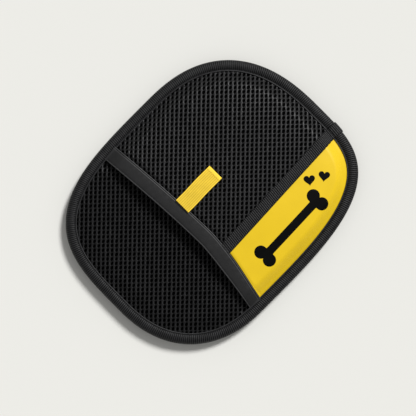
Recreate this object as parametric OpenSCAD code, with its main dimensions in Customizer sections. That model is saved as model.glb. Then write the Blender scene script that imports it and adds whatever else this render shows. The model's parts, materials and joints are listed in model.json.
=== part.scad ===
// Grooming mitt: a flat hand pocket with soft rubber tips on the palm side.
// Millimetres. +Y points to the fingertips and +Z away from the palm, and the tips stand on z = 0.
// Every soft layer is a thick sheet between two grids of points that follow the same height rules.

/* [Outline] */
// Width across the widest place
mitt_w = 185; // [175:1:195]
// Length from the heel to the fingertip end, with the tape that wraps over it
mitt_l = 230; // [220:1:240]
// Height along the length at which the left side is widest
left_y = 20; // [12:1:28]
// Height along the length at which the right side is widest
right_y = -34; // [-40:1:-26]
// Place across the width of the foremost point of the tip
tip_x = 8; // [2:1:12]
// Place across the width of the rearmost point of the heel
heel_x = 12; // [2:1:16]
// Fullness of the right side of the tip: 2 is an ellipse, more is squarer
full_tip_right = 3.5; // [3:0.1:3.8]
// Fullness of the left side of the tip
full_tip_left = 2.45; // [2.2:0.05:2.8]
// Fullness of the left side of the heel
full_heel_left = 3.5; // [3:0.1:3.8]
// Fullness of the right side of the heel
full_heel_right = 2.25; // [2.1:0.05:2.6]

/* [Palm] */
// Length of the rubber tips
pin_h = 4.5; // [3.5:0.1:5]
// Radius of a rubber tip where it leaves the pad
pin_root_r = 1.9; // [1.5:0.1:2.2]
// Radius of a rubber tip at its end
pin_end_r = 1.2; // [0.9:0.1:1.4]
// Distance between neighbouring tips in a row
pin_pitch = 10; // [9:0.5:13]
// Thickness of the rubber pad under the tips
pad_t = 1.5; // [1.2:0.1:1.8]
// Distance from the mitt's edge to the pad's edge
pad_inset = 13; // [12:0.5:18]
// Thickness of the woven palm fabric
fabric_t = 0.6; // [0.4:0.1:0.8]
// Thickness of the palm foam
foam_t = 3; // [2:0.1:4]
// Thickness of the spacer mesh that lines the hand pocket
palm_mesh_t = 3; // [2.5:0.1:3.5]

/* [Back of the hand] */
// Height of the empty pocket at the middle of its mouth
pocket_h = 8; // [7:0.5:11]
// Thickness of the lining sheet
lining_t = 0.5; // [0.4:0.1:0.6]
// Thickness of the spacer mesh on the back
back_mesh_t = 3.2; // [3:0.1:3.6]
// Thickness of the foam under the label panel
label_foam_t = 2.4; // [2:0.1:2.6]
// Thickness of the label panel
label_t = 0.6; // [0.4:0.1:0.7]
// Place across the width where the seam meets the opening band
seam_heel_x = 36; // [30:1:42]
// Direction round the outline at which the same seam meets the tip
seam_tip_t = 81; // [78:1:84]

/* [Tapes] */
// Width of the rim binding that shows on each face
rim_w = 8.6; // [8:0.1:9]
// Wall thickness of the rim binding
rim_t = 0.7; // [0.6:0.1:0.8]
// Width of the seam tape
tape_w = 10; // [9:0.5:11]
// Thickness of the seam tape
tape_t = 0.6; // [0.5:0.1:0.8]
// Width of the opening band
band_w = 13; // [12:0.5:13.5]
// Thickness of the folded opening band
band_t = 2.8; // [2.6:0.1:3.2]
// Place along the length of the opening band at its highest point
band_y = -24.3; // [-26:0.1:-22]

/* [Pull tab] */
// Width of the pull tab
tab_w = 14; // [12:0.5:15]
// Length of the pull tab from its fold line
tab_l = 37.5; // [32:0.5:42]
// Thickness of the doubled webbing
tab_t = 1.4; // [1.2:0.1:1.6]
// Place of the tab's middle across the width
tab_x = -12.2; // [-16:0.1:-8]
// Lean of the tab to the left, in degrees
tab_lean = 1; // [0:0.5:2]

/* [Stitches] */
// Distance from one stitch to the next
stitch_pitch = 6; // [5:0.5:8]
// Thickness of the thread
thread = 0.4; // [0.3:0.1:0.5]

/* [Hidden] */
$fn = 24;

gap = 0.1;            // between sheets that lie on each other
free = 0.35;          // between pieces that move apart
flange_t = 2.4;       // palm mesh where the seam squeezes it
back_flange_t = 1.75; // back mesh where the seam squeezes it
label_flange_t = 1.1; // label foam where the seam squeezes it
squeeze_from = 9;     // distance from the edge at which the padding starts to rise
squeeze_to = 20;      // distance from the edge at which it is at its full height
edge_in = 2;          // distance from the mitt's edge to the edges of the sewn sheets
foam_in = 16;         // distance from the mitt's edge to the edge of the palm foam

half_w = mitt_w / 2;
tip_y = mitt_l / 2 - gap - tape_t;
heel_y = -mitt_l / 2;

pad_top = pin_h + pad_t;
fabric_top = pad_top + fabric_t;
foam_top = fabric_top + foam_t;
palm_top = foam_top + palm_mesh_t;
flange_top = fabric_top + flange_t;
rim_cavity_top = flange_top + 2 * gap + lining_t + back_flange_t + gap;
rim_mid = (pad_top + rim_cavity_top) / 2;
rim_cavity = (rim_cavity_top - pad_top) / 2 + gap;
rim_half = rim_cavity + rim_t;
rim_round = 3.6;

function clamp01(t) = max(0, min(1, t));
function smooth(t) = let(c = clamp01(t)) c * c * (3 - 2 * c);
function mix(a, b, t) = a * (1 - t) + b * t;
function left_of(v) = [-v[1], v[0]] / norm(v);

// The outline is four superellipse quarters that meet at the foremost, rearmost and widest points.
// A quarter is [centre, half width, half length, fullness].
QUARTERS = [
    [[tip_x, right_y], half_w - tip_x, tip_y - right_y, full_tip_right],
    [[tip_x, left_y], half_w + tip_x, tip_y - left_y, full_tip_left],
    [[heel_x, left_y], half_w + heel_x, left_y - heel_y, full_heel_left],
    [[heel_x, right_y], half_w - heel_x, right_y - heel_y, full_heel_right]
];
function wrap(t) = t - 360 * floor(t / 360);
function outline(t) =
    let(q = QUARTERS[floor(wrap(t) / 90)], c = cos(t), s = sin(t),
        r = pow(pow(abs(c) / q[1], q[3]) + pow(abs(s) / q[2], q[3]), -1 / q[3]))
    q[0] + r * [c, s];
function inset(t, d) = outline(t) + d * left_of(outline(t + 0.5) - outline(t - 0.5));
ring_step = 3.75;
function ring_points(d) = [for (t = [0:ring_step:359.9]) inset(t, d)];

// First-order distance from a point inside the outline to the outline
function quarter_of(y, right) =
    right ? (y > right_y ? QUARTERS[0] : QUARTERS[3]) : (y > left_y ? QUARTERS[1] : QUARTERS[2]);
function edge_distance(x, y) =
    let(q = quarter_of(y, x > (y > (left_y + right_y) / 2 ? tip_x : heel_x)), n = q[3],
        u = abs(x - q[0][0]) / q[1], v = abs(y - q[0][1]) / q[2],
        rho = max(0.05, pow(pow(u, n) + pow(v, n), 1 / n)),
        slope = norm([pow(u / rho, n - 1) / q[1], pow(v / rho, n - 1) / q[2]]))
    (1 - rho) / slope;

// Sides of the pocket at a place along the length, where its height falls to zero
function side_x(y, right) =
    let(q = quarter_of(y, right), a = q[1] - squeeze_from, b = q[2] - squeeze_from,
        v = min(1, abs(y - q[0][1]) / b),
        reach = a * pow(1 - pow(v, q[3]), 1 / q[3]))
    q[0][0] + (right ? reach : -reach);
function across(x, y) =
    let(l = side_x(y, false), r = side_x(y, true))
    min(1, abs(2 * x - l - r) / max(1, r - l));

// The opening band arches towards the tip
band_peak_x = 20;
band_left_drop = 6.4;
band_right_drop = 9;
function band_mid(x) =
    x < band_peak_x
    ? band_y - band_left_drop * pow((band_peak_x - x) / 103.5, 1.6)
    : band_y - band_right_drop * pow((x - band_peak_x) / 62, 1.4);
function band_half(x) = band_w / 2 - 0.8 * smooth((x - 40) / 42);
function band_tip_edge(x) = band_mid(x) + band_half(x);
function band_heel_edge(x) = band_mid(x) - band_half(x);

// Heights: the top of the palm mesh, the pocket above it, and the lining's underside.
// Beyond the band only the palm side is inside the rim, so it is thicker there.
heel_from = 3;
heel_to = 10;
function palm_z(x, y) =
    let(d = edge_distance(x, y),
        below = smooth((band_heel_edge(x) - heel_from - y) / (heel_to - heel_from)),
        low = mix(flange_top, rim_cavity_top - gap, below))
    mix(low, palm_top, smooth((d - squeeze_from) / (squeeze_to - squeeze_from)));
function pocket(x, y) =
    let(from = band_tip_edge(x), along = clamp01((y - from) / (tip_y - squeeze_from - from)))
    pocket_h * (1 - pow(across(x, y), 2.6)) * pow(1 - pow(along, 2.4), 0.9);
function lining_z(x, y) = palm_z(x, y) + 2 * gap + pocket(x, y);
function padded(x, y, low, high) =
    mix(low, high, smooth((edge_distance(x, y) - squeeze_from) / (squeeze_to - squeeze_from)));
function mesh_foot(x, y) = lining_z(x, y) + lining_t + gap / 2;
function mesh_z(x, y) = mesh_foot(x, y) + padded(x, y, back_flange_t, back_mesh_t);
function foam_z(x, y) = mesh_foot(x, y) + padded(x, y, label_flange_t, label_foam_t);
function label_z(x, y) = foam_z(x, y) + gap / 2 + label_t;

// A closed solid between two grids of points, a[i][j] on its upper side and b[i][j] on its lower side.
// When closed, the last row joins the first.
module sheet(a, b, closed = false) {
    rows = len(a);
    cols = len(a[0]);
    last = closed ? rows - 1 : rows - 2;
    function up(i, j) = (i % rows) * cols + j;
    function down(i, j) = rows * cols + up(i, j);
    function quad(p, q, r, s) = [[p, q, r], [p, r, s]];
    function end_wall(i, j, k) = quad(up(i, j), up(i, k), down(i, k), down(i, j));
    function side_wall(j, i, k) = quad(up(i, j), up(k, j), down(k, j), down(i, j));
    faces = concat(
        [for (i = [0:last], j = [0:cols - 2],
              f = quad(up(i, j), up(i, j + 1), up(i + 1, j + 1), up(i + 1, j))) f],
        [for (i = [0:last], j = [0:cols - 2],
              f = quad(down(i, j), down(i + 1, j), down(i + 1, j + 1), down(i, j + 1))) f],
        [for (i = [0:last], f = side_wall(0, i, i + 1)) f],
        [for (i = [0:last], f = side_wall(cols - 1, i + 1, i)) f],
        closed ? [] : [for (j = [0:cols - 2], f = end_wall(0, j + 1, j)) f],
        closed ? [] : [for (j = [0:cols - 2], f = end_wall(rows - 1, j, j + 1)) f]
    );
    polyhedron([for (row = a, p = row) p, for (row = b, p = row) p], faces);
}

// The back panels lie on straight lines from the mouth to the edge, and then on rings round the edge.
// u runs from -1 at the left end of the mouth, through 0 at the seam, to 1 at its right end.
rim_left_t = 203;
rim_right_t = 5.1;
slope_to = squeeze_to;
FIELD = [0, 0.07, 0.18, 0.32, 0.48, 0.63, 0.77, 0.89, 1];
SLOPE = [17.5, 15, 12.5, 10.5, squeeze_from, edge_in];
// Directions in which the panels and the palm mesh below them both have a column of points
station_step = 7.5;
left_stations = [195:-station_step:90];
right_stations = [75:-station_step:15];
STATIONS = concat([for (t = [0:station_step:75]) t], seam_tip_t, [for (t = [90:station_step:359]) t]);
LEFT_U = concat(-1, [for (t = left_stations) -(t - seam_tip_t) / (rim_left_t - seam_tip_t)], 0);
RIGHT_U = concat(0, [for (t = right_stations) (seam_tip_t - t) / (seam_tip_t - rim_right_t)], 1);
ALL_U = concat(LEFT_U, [for (i = [1:len(RIGHT_U) - 1]) RIGHT_U[i]]);
function on_mouth(x) = [x, band_tip_edge(x) + free];
function slope_point(u, d) =
    let(p = inset(u < 0 ? mix(seam_tip_t, rim_left_t, -u) : mix(seam_tip_t, rim_right_t, u), d))
    abs(u) < 1 ? p : on_mouth(p[0]);
left_end = slope_point(-1, slope_to);
right_end = slope_point(1, slope_to);
function mouth_point(u) = on_mouth(mix(seam_heel_x, u < 0 ? left_end[0] : right_end[0], abs(u)));
function panel_point(u, v) = mix(mouth_point(u), slope_point(u, slope_to), v);
function lifted(p, z) = [p[0], p[1], z(p[0], p[1])];
function panel_grid(us, z) =
    [for (u = us) concat([for (v = FIELD) lifted(panel_point(u, v), z)],
                         [for (d = SLOPE) lifted(slope_point(u, d), z)])];

module grooming_pad() {
    pad_edge = pad_inset + 7;
    row_step = pin_pitch * sqrt(3) / 2;
    rows = ceil(mitt_l / 2 / row_step);
    columns = ceil(mitt_w / 2 / pin_pitch);
    color("#35373b") {
        translate([0, 0, pin_h]) linear_extrude(pad_t) polygon(ring_points(pad_inset));
        for (j = [-rows:rows], i = [-columns:columns]) {
            x = (i + (j % 2 == 0 ? 0 : 0.5)) * pin_pitch;
            y = j * row_step;
            if (abs(x) < half_w && y < tip_y && y > heel_y && edge_distance(x, y) > pad_edge)
                translate([x, y, 0]) cylinder(h = pin_h, r1 = pin_end_r, r2 = pin_root_r);
        }
    }
}

// A row of stitches at a fixed distance from the edge, as thin bars that lie along the outline.
// The row leaves out a stretch of the given half angle under the seam tape.
module edge_stitches(d, z, count, left_out = 0) {
    for (i = [0:count - 1]) {
        t = 360 * i / count;
        along = outline(t + 0.5) - outline(t - 0.5);
        p = inset(t, d);
        if (abs(t - seam_tip_t) >= left_out)
            translate([p[0], p[1], z]) rotate([0, 0, atan2(along[1], along[0])])
                cube([stitch_pitch * 0.6, thread, thread], center = true);
    }
}

module pad_stitching() {
    color("#2a2a2c") edge_stitches(pad_inset + 3.5, pin_h - thread / 2, 84);
}

module palm_fabric() {
    color("#26272a") translate([0, 0, pad_top]) linear_extrude(fabric_t) polygon(ring_points(edge_in));
}

module palm_foam() {
    color("#b9b9b2") translate([0, 0, fabric_top]) linear_extrude(foam_t) polygon(ring_points(foam_in));
}

// The palm mesh is full size: rings round its edge, and flat inside them on both sides
module palm_mesh() {
    last = len(SLOPE) - 1;
    foot = fabric_top + gap / 2;
    function ring(d, z) = [for (t = STATIONS) lifted(inset(t, d), z)];
    level = function(z) function(x, y) z;
    rings = concat([ring(foam_in - 0.8, level(foot + foam_t)), ring(squeeze_from, level(foot)),
                    ring(edge_in, level(foot))],
                   [for (i = [last:-1:0]) ring(SLOPE[i], function(x, y) palm_z(x, y))],
                   [ring(slope_to, level(palm_top))]);
    n = len(rings[0]);
    function at(i, j) = i * n + j % n;
    color("#2e2f31") polyhedron(
        [for (r = rings, p = r) p],
        concat([for (i = [0:len(rings) - 2], j = [0:n - 1], k = [0, 1])
                   k == 0 ? [at(i, j), at(i + 1, j), at(i + 1, j + 1)]
                          : [at(i, j), at(i + 1, j + 1), at(i, j + 1)]],
               [[for (j = [0:n - 1]) at(0, j)]],
               [[for (j = [n - 1:-1:0]) at(len(rings) - 1, j)]]));
}

module back_lining() {
    color("#1f2022") sheet(panel_grid(ALL_U, function(x, y) lining_z(x, y) + lining_t),
                           panel_grid(ALL_U, function(x, y) lining_z(x, y)));
}

module back_mesh() {
    color("#2b2c2e") sheet(panel_grid(LEFT_U, function(x, y) mesh_z(x, y)),
                           panel_grid(LEFT_U, function(x, y) mesh_foot(x, y)));
}

module label_foam() {
    color("#c9c6bc") translate([gap, 0, 0])
        sheet(panel_grid(RIGHT_U, function(x, y) foam_z(x, y)),
              panel_grid(RIGHT_U, function(x, y) mesh_foot(x, y)));
}

module label_panel() {
    color("#f5d01e") translate([gap, 0, 0])
        sheet(panel_grid(RIGHT_U, function(x, y) label_z(x, y)),
              panel_grid(RIGHT_U, function(x, y) foam_z(x, y) + gap / 2));
}

// A flat mark on the label, from a function that maps the square -1..1 to the mark's own plane
module mark(place, turn, shape, rows, cols) {
    function spot(i, j) =
        let(p = shape(-1 + 2 * j / cols, -1 + 2 * i / rows))
        place + [p[0] * cos(turn) - p[1] * sin(turn), p[0] * sin(turn) + p[1] * cos(turn)];
    function layer(rise) =
        [for (i = [0:rows]) [for (j = [0:cols])
            let(p = spot(i, j)) [p[0], p[1], label_z(p[0], p[1]) + rise]]];
    sheet(layer(0.4), layer(0.2));
}

module label_motif() {
    bone_l = 72;
    shaft = 4.2;
    knob = 10.5;
    // Across q and along p: a straight shaft, with two round lobes and a cleft at each end
    function bone(q, p) =
        let(end = smooth((abs(p) - 0.66) / 0.22),
            round_off = sqrt(1 - pow(max(0, abs(p) - 0.86) / 0.14, 2) * 0.45))
        [q * mix(shaft, knob, end) * round_off,
         sign(p) * (abs(p) * bone_l / 2 - end * 4.5 * (1 - sin(min(180, 180 * abs(q)))))];
    function heart(q, p) =
        let(x = q * sqrt(1 - p * p / 2), y = p * sqrt(1 - q * q / 2))
        4.2 * [x, y + 0.7 * abs(x)];
    color("#141414") {
        mark([61.5, 29.5], 2, function(q, p) bone(q, p), 26, 6);
        mark([45, 66.4], 52, function(q, p) heart(q, p), 6, 6);
        mark([51, 77], 38, function(q, p) heart(q, p), 6, 6);
    }
}

// The seam tape runs along the seam, up over the rim binding and round its outer edge
wrap_turn = 1.95;
function rim_path(rise) = concat(
    [[rim_w + 0.8, rim_mid + rim_half + rise - 0.2]],
    [for (a = [90:22.5:270]) [rim_round + (rim_round + rise) * cos(a), rim_mid + (rim_half + rise) * sin(a)]],
    [[rim_w - 0.6, rim_mid - rim_half - rise]]);
tape_clear = 0.35;
function on_back(p, rise) = [p[0], p[1], max(mesh_z(p[0], p[1]), label_z(p[0], p[1])) + rise];
function tape_grid(rise) =
    let(side = left_of(slope_point(0, slope_to) - mouth_point(0)), across = [1, 0.5, 0, -0.5, -1],
        last = inset(seam_tip_t, slope_to), lift = rise + tape_clear)
    concat(
        [for (v = FIELD) [for (w = across)
            let(foot = on_mouth(mouth_point(0)[0] + w * tape_w / 2 * side[0]))
            on_back(mix(foot, inset(seam_tip_t + w * wrap_turn, slope_to), v), lift)]],
        [for (d = [SLOPE[0], SLOPE[1], SLOPE[2], SLOPE[3]]) [for (w = across)
            on_back(inset(seam_tip_t + w * wrap_turn, d), lift)]],
        [for (s = rim_path(rise + gap)) [for (w = across)
            let(p = inset(seam_tip_t + w * wrap_turn, s[0])) [p[0], p[1], s[1]]]]);

module seam_tape() {
    color("#303134") sheet(tape_grid(tape_t), tape_grid(0));
}

module seam_tape_stitching() {
    count = 19;
    side = left_of(slope_point(0, slope_to) - mouth_point(0));
    color("#262628") for (w = [-1, 1], i = [0:count - 1]) {
        v = 0.05 + 0.88 * i / (count - 1);
        out = w * (tape_w / 2 - 1) * side;
        rise = tape_clear + tape_t + gap + thread;
        p = on_back(panel_point(0, v) + out, rise);
        q = on_back(panel_point(0, v + 0.02) + out, rise);
        run = q - p;
        translate(p)
            rotate([0, -atan2(run[2], norm([run[0], run[1]])), atan2(run[1], run[0])])
                cube([stitch_pitch * 0.6, thread, thread], center = true);
    }
}

// The rim binding is a folded tape, with a round outer edge and a lip on each face
module rim_binding() {
    outer = concat([[rim_w, rim_mid + rim_half - 0.2]],
                   [for (a = [90:20:270]) [rim_round * (1 + cos(a)), rim_mid + rim_half * sin(a)]],
                   [[rim_w, rim_mid - rim_half + 0.2]]);
    // The hollow has square corners, because the sewn sheets inside are cut square
    function squared(t) = max(-1, min(1, t / 0.7));
    depth = rim_round - rim_t;
    inner = concat([[rim_w, rim_mid + rim_cavity]],
                   [for (a = [90:20:270])
                       [rim_round + depth * max(-0.6, cos(a)), rim_mid + rim_cavity * squared(sin(a))]],
                   [[rim_w, rim_mid - rim_cavity]]);
    function swept(section) =
        [for (t = [0:ring_step:359.9]) [for (s = section)
            let(p = inset(t, s[0])) [p[0], p[1], s[1]]]];
    color("#1d1e20") sheet(swept(outer), swept(inner), closed = true);
}

module rim_stitching() {
    count = 104;
    out = wrap_turn + 1.5;
    color("#303133") {
        edge_stitches(rim_w - 1.2, rim_mid + rim_half + thread / 2, count, out);
        edge_stitches(rim_w - 1.2, rim_mid - rim_half - thread / 2, count, out);
    }
}

// The opening band is a tape folded round a flat elastic, with its fold towards the wrist
band_steps = 44;
band_rise = 0.9;
band_end_in = 9.2;
function band_foot(x) =
    let(y = band_mid(x)) lining_z(x, y) + band_rise * smooth((edge_distance(x, y) - squeeze_from) / 12);
function band_station(i) =
    let(l = inset(203.5, band_end_in), r = inset(1, band_end_in), s = i / band_steps)
    [mix(l[0], r[0], s), mix(-0.07, 0.02, s)];
// A point of the band: how far along it, how far from its middle line towards the tip, and how high
function band_point(i, y, z) =
    let(s = band_station(i), x = s[0] + s[1] * y)
    [x, band_mid(s[0]) + y, band_foot(s[0]) + z];

module opening_band() {
    wall = 0.7;
    half = band_t / 2;
    // Share of the band's half width, a shift from it, and the height
    outer = concat([[1, 0, band_t]],
                   [for (a = [90:30:270]) [-1, half + half * cos(a), half + half * sin(a)]],
                   [[1, 0, 0]]);
    hollow = half - wall;
    inner = concat([[1, 0, band_t - wall]],
                   [for (a = [90:30:270]) [-1, half + hollow * cos(a), half + hollow * sin(a)]],
                   [[1, 0, wall]]);
    function swept(section) =
        [for (i = [0:band_steps]) let(h = band_half(band_station(i)[0]))
            [for (s = section) band_point(i, s[0] * h + s[1], s[2])]];
    color("#2d2d2f") sheet(swept(outer), swept(inner));
}

module opening_elastic() {
    low = 0.7 + gap;
    high = band_t - 0.7 - gap;
    function layer(z) =
        [for (i = [0:band_steps]) let(h = band_half(band_station(i)[0]))
            [for (y = [h - 0.4, 0, 1.6 - h]) band_point(i, y, z)]];
    color("#e8e6df") sheet(layer(high), layer(low));
}

module band_stitching() {
    count = 25;
    color("#3a3a3c") for (side = [-1, 1], k = [0:count - 1]) {
        i = 1.6 + (band_steps - 3.2) * k / (count - 1);
        h = band_half(band_station(i)[0]);
        y = side > 0 ? h - 1.2 : 1.8 - h;
        p = band_point(i - 0.4, y, band_t);
        q = band_point(i + 0.4, y, band_t);
        mid = (p + q) / 2;
        run = q - p;
        // The row along the tip edge leaves room for the pull tab's root
        if (side < 0 || abs(mid[0] - tab_x) > tab_w / 2 + stitch_pitch / 2)
            translate([mid[0], mid[1], mid[2] + 0.12 + thread / 2])
                rotate([0, -atan2(run[2], norm([run[0], run[1]])), atan2(run[1], run[0])])
                    cube([stitch_pitch * 0.6, thread, thread], center = true);
    }
}

// The pull tab turns on the line where it is sewn to the band's tip edge
tab_y = band_tip_edge(tab_x) - 0.4;
tab_z = max(band_foot(tab_x) + band_t, mesh_z(tab_x, tab_y + 12)) + free + tab_t / 2;
hem_l = 3;
hem_t = 0.3;
module pull_tab() {
    color("#f2c11c") translate([tab_x, tab_y, tab_z]) {
        rotate([0, 90, 0]) cylinder(h = tab_w, d = tab_t, center = true);
        rotate([0, 0, tab_lean]) {
            translate([-tab_w / 2, 0, -tab_t / 2]) cube([tab_w, tab_l - 1, tab_t]);
            translate([0, tab_l - 1, 0]) rotate([0, 90, 0]) cylinder(h = tab_w, r = tab_t / 2, center = true);
            translate([-tab_w / 2, tab_l - 1 - hem_l, 0]) cube([tab_w, hem_l, tab_t / 2 + hem_t]);
        }
    }
}

module tab_stitching() {
    color("#e0ac10") translate([tab_x, tab_y, tab_z]) rotate([0, 0, tab_lean])
        for (x = [-5.1, -1.7, 1.7, 5.1])
            translate([x, tab_l - 1 - hem_l / 2, tab_t / 2 + hem_t + thread / 2])
                cube([2.4, thread, thread], center = true);
}

grooming_pad();
pad_stitching();
palm_fabric();
palm_foam();
palm_mesh();
back_lining();
back_mesh();
label_foam();
label_panel();
label_motif();
seam_tape();
seam_tape_stitching();
rim_binding();
rim_stitching();
opening_band();
opening_elastic();
band_stitching();
pull_tab();
tab_stitching();
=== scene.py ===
"""Looks of the grooming mitt: each soft layer is a detailed mesh that lies where its CAD solid lies.

Lengths are in millimetres until a mesh is made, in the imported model's frame: +Y to the fingertips, +Z away
from the palm.
"""

import json
import math

import bpy
import numpy as np
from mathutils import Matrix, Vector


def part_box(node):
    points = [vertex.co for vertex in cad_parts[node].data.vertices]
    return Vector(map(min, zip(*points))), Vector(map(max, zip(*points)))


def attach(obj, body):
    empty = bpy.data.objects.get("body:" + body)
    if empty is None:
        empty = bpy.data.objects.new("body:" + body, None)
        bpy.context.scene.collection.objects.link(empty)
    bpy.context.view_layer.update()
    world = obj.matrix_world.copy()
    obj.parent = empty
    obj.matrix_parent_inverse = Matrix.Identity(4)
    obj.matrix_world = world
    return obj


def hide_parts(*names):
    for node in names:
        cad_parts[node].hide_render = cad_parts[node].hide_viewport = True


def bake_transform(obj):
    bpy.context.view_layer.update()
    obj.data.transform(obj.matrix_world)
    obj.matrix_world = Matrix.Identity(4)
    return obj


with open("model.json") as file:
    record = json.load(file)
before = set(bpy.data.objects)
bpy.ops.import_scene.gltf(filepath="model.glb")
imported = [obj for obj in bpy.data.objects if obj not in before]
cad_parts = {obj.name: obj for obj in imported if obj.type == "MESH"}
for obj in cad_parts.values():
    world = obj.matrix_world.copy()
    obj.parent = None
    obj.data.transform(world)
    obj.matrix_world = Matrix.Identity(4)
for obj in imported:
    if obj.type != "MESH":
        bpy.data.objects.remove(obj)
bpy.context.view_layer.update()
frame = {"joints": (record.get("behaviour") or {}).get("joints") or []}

MM = 0.001


def box_mm(node):
    low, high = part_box(node)
    return np.array(low) / MM, np.array(high) / MM


# ---------------------------------------------------------------- sizes, from the frame where it has them
rim_low, rim_high = box_mm("rim_binding")
# The outline's reach, and the places where its quarters meet
HALF_W = 92.5
TIP_Y = 114.3
HEEL_Y = -115.0
LEFT_Y, RIGHT_Y = 20.0, -34.0
TIP_X, HEEL_X = 8.0, 12.0
RIM_MID = (rim_low[2] + rim_high[2]) / 2
RIM_W = 8.6
TIP_H = 4.5  # height of a rubber tip, up to the pad's sheet
PAD_TOP = box_mm("grooming_pad")[1][2]
FABRIC_TOP = box_mm("palm_fabric")[1][2]
FOAM_TOP = box_mm("palm_foam")[1][2]
PALM_TOP = box_mm("palm_mesh")[1][2]
PALM_FLANGE_TOP = FABRIC_TOP + 2.4
CAVITY_TOP = PALM_FLANGE_TOP + 2.55
# Distances inside the outline: the padding's rise to its full height, the layers' own edges
SQUEEZE_FROM, SQUEEZE_TO = 9.0, 20.0
EDGE_IN = 2.0
FOAM_IN = 16.0
PAD_IN = 13.0
POCKET_H = 8.0
LINING_T = 0.5
GAP = 0.1
FREE = 0.35
BAND_W, BAND_Y = 13.0, -24.3
BAND_RISE, BAND_END_IN = 0.9, 7.8
BAND_ENDS_T, BAND_SLANT = (203.5, 1.0), (-0.07, 0.02)  # directions in degrees, and slants, left and right
SEAM_X, SEAM_T = 36.0, 81.0  # the seam's place at the mouth, and its direction at the tip in degrees
TAPE_W, TAPE_T, TAPE_EDGE_T, TAPE_CLEAR = 10.0, 0.6, 0.22, 0.16
TAPE_TURN = 1.95  # half the tape's width at the tip, in degrees round the outline
TAB_W, TAB_L, TAB_T, TAB_X, TAB_LEAN = 14.0, 37.5, 1.4, -12.2, 1.0
TAB_RIBS = 8.5
TAB_TUCK = 3.6  # how far the tab's root dives into the band
HEM_L, HEM_T = 3.1, 0.28
SELVEDGE = 0.88  # where the tab's smooth edges begin, as a share of its half width
RIB = 1.6  # from one rib of the ribbed tape to the next
RIB_STEPS = 6
RIM_RELIEF, TAPE_RELIEF = 0.12, 0.15

# Each quarter of the outline is a superellipse: centre, half width, half length, fullness
QUARTERS = [
    ((TIP_X, RIGHT_Y), HALF_W - TIP_X, TIP_Y - RIGHT_Y, 3.5),
    ((TIP_X, LEFT_Y), HALF_W + TIP_X, TIP_Y - LEFT_Y, 2.45),
    ((HEEL_X, LEFT_Y), HALF_W + HEEL_X, LEFT_Y - HEEL_Y, 3.5),
    ((HEEL_X, RIGHT_Y), HALF_W - HEEL_X, RIGHT_Y - HEEL_Y, 2.25),
]


# ---------------------------------------------------------------- the mitt's shape
def smooth(t):
    t = np.clip(t, 0, 1)
    return t * t * (3 - 2 * t)


def mix(a, b, t):
    return a * (1 - t) + b * t


def quarter_values(index):
    table = np.array([(q[0][0], q[0][1], q[1], q[2], q[3]) for q in QUARTERS])
    return np.moveaxis(table[index], -1, 0)


def outline(t):
    """Points of the outline in the directions t, in degrees."""
    t = np.asarray(t, float) % 360
    cx, cy, a, b, n = quarter_values((t // 90).astype(int))
    c, s = np.cos(np.radians(t)), np.sin(np.radians(t))
    r = ((np.abs(c) / a) ** n + (np.abs(s) / b) ** n) ** (-1 / n)
    return np.stack([cx + r * c, cy + r * s], -1)


def inward(t):
    along = outline(np.asarray(t) + 0.5) - outline(np.asarray(t) - 0.5)
    along /= np.linalg.norm(along, axis=-1, keepdims=True)
    return np.stack([-along[..., 1], along[..., 0]], -1)


def inset(t, d):
    return outline(t) + np.asarray(d)[..., None] * inward(t)


def quarter_of(y, right):
    return np.where(right, np.where(y > RIGHT_Y, 0, 3), np.where(y > LEFT_Y, 1, 2))


def edge_distance(x, y):
    """How far inside the outline a point is, to first order."""
    right = x > np.where(y > (LEFT_Y + RIGHT_Y) / 2, TIP_X, HEEL_X)
    cx, cy, a, b, n = quarter_values(quarter_of(y, right))
    u, v = np.abs(x - cx) / a, np.abs(y - cy) / b
    rho = np.maximum(0.05, (u**n + v**n) ** (1 / n))
    slope = np.hypot((u / rho) ** (n - 1) / a, (v / rho) ** (n - 1) / b)
    return (1 - rho) / slope


def side_x(y, right):
    cx, cy, a, b, n = quarter_values(quarter_of(y, right))
    v = np.minimum(1, np.abs(y - cy) / (b - SQUEEZE_FROM))
    reach = (a - SQUEEZE_FROM) * (1 - v**n) ** (1 / n)
    return cx + np.where(right, reach, -reach)


def across(x, y):
    """0 on the pocket's middle line and 1 at its sides."""
    left, right = side_x(y, np.zeros(np.shape(y), bool)), side_x(y, np.ones(np.shape(y), bool))
    return np.minimum(1, np.abs(2 * x - left - right) / np.maximum(1, right - left))


def band_mid(x):
    left = BAND_Y - 6.4 * (np.maximum(0, 20 - x) / 103.5) ** 1.6
    right = BAND_Y - 9.0 * (np.maximum(0, x - 20) / 62) ** 1.4
    return np.where(x < 20, left, right)


def band_half(x):
    return BAND_W / 2 - 0.8 * smooth((x - 40) / 42)


def band_tip_edge(x):
    return band_mid(x) + band_half(x)


def padding(x, y):
    return smooth((edge_distance(x, y) - SQUEEZE_FROM) / (SQUEEZE_TO - SQUEEZE_FROM))


def palm_z(x, y):
    below = smooth((band_mid(x) - band_half(x) - 3 - y) / 7)
    return mix(mix(PALM_FLANGE_TOP, CAVITY_TOP - GAP, below), PALM_TOP, padding(x, y))


def pocket(x, y):
    start = band_tip_edge(x)
    along = np.clip((y - start) / (TIP_Y - SQUEEZE_FROM - start), 0, 1)
    return POCKET_H * (1 - across(x, y) ** 2.6) * (1 - along**2.4) ** 0.9


def slack(x, y):
    """The unevenness of cloth that lies slack: low waves that die out at the seams."""
    waves = (
        np.sin(x * 0.071 + y * 0.043 + 0.6)
        + 0.7 * np.sin(x * 0.034 - y * 0.088 + 2.1)
        + 0.5 * np.sin(x * 0.129 + y * 0.021 + 4.0)
    )
    return 0.22 * waves * padding(x, y)


def lining_z(x, y):
    return palm_z(x, y) + 2 * GAP + pocket(x, y) + slack(x, y) * smooth((pocket(x, y) - 1) / 3)


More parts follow.
